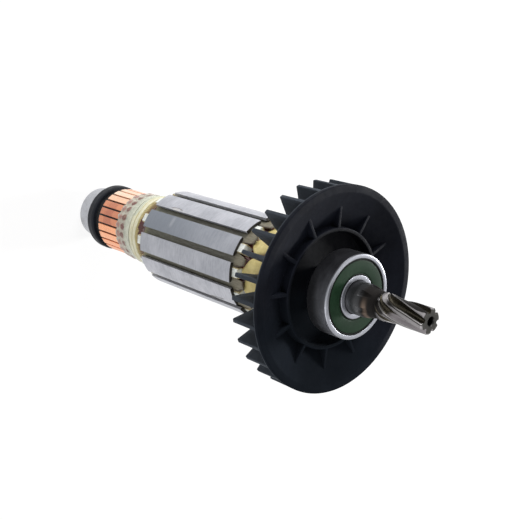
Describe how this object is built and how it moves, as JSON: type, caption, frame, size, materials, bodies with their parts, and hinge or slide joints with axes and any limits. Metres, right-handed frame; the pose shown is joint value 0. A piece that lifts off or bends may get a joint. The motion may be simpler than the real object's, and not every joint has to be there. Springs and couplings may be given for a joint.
{
  "type": "motor armature",
  "caption": "Wound armature for a power tool motor, with slotted core, commutator, radial fan, two ball bearings and a helical pinion on its shaft.",
  "frame": {"origin": "on the shaft's axis at the rear end, where the rear bearing's face and the end of the shaft lie in one plane", "axes": "+Z along the shaft from the rear end to the pinion; +X is an arbitrary radial direction"},
  "size_m": [0.064, 0.064, 0.1663],
  "materials": {
    "shaft_steel": "ground steel with a brown heat tint at the shoulder",
    "sleeve_plastic": "natural plastic",
    "core_steel": "turned stack of electrical steel sheets",
    "insulator_white": "white moulding",
    "liner_paper": "varnished insulating paper",
    "wedge_olive": "varnished slot wedge",
    "coated_wire": "enamelled wire under cured varnish",
    "copper": "turned copper",
    "moulding_black": "phenolic moulding",
    "bush_steel": "drawn tube",
    "resin_grey": "cured resin",
    "cord_cream": "varnished binding cord",
    "washer_black": "satin moulding",
    "fan_black": "glass-filled moulding",
    "bearing_steel": "ground bearing steel",
    "ball_steel": "polished",
    "cage_plastic": "natural moulding",
    "seal_dark": "moulded rubber",
    "seal_green": "moulded rubber"
  },
  "bodies": {
    "armature": {"shaft": "shaft_steel", "shaft_insulation": "sleeve_plastic", "lamination_core": "core_steel", "rear_end_insulator": "insulator_white", "front_end_insulator": "insulator_white", "slot_liners": "liner_paper", "slot_wedges": "wedge_olive", "winding": "coated_wire", "commutator_bars": "copper", "commutator_moulding": "moulding_black", "commutator_bush": "bush_steel", "lead_resin": "resin_grey", "binding_cord": "cord_cream", "insulating_washer": "washer_black", "fan": "fan_black", "rear_inner_ring": "bearing_steel", "front_inner_ring": "bearing_steel"},
    "rear_outer": {"rear_outer_ring": "bearing_steel", "rear_outer_seal": "seal_dark", "rear_inner_seal": "seal_dark"},
    "rear_rollers": {"rear_balls": "ball_steel", "rear_cage": "cage_plastic"},
    "front_outer": {"front_outer_ring": "bearing_steel", "front_outer_seal": "seal_green", "front_inner_seal": "seal_green"},
    "front_rollers": {"front_balls": "ball_steel", "front_cage": "cage_plastic"}
  },
  "joints": [
    {"name": "rear_ring_spin", "type": "hinge", "parent": "armature", "child": "rear_outer", "pos_m": [0, 0, 0.003], "axis": [0, 0, 1], "continuous": true},
    {"name": "rear_cage_spin", "type": "hinge", "parent": "armature", "child": "rear_rollers", "pos_m": [0, 0, 0.003], "axis": [0, 0, 1], "continuous": true},
    {"name": "front_ring_spin", "type": "hinge", "parent": "armature", "child": "front_outer", "pos_m": [0, 0, 0.1347], "axis": [0, 0, 1], "continuous": true},
    {"name": "front_cage_spin", "type": "hinge", "parent": "armature", "child": "front_rollers", "pos_m": [0, 0, 0.1347], "axis": [0, 0, 1], "continuous": true}
  ],
  "couplings": [
    {"joint": "rear_cage_spin", "follows": "rear_ring_spin", "ratio": 0.63462},
    {"joint": "front_cage_spin", "follows": "front_ring_spin", "ratio": 0.63222}
  ]
}
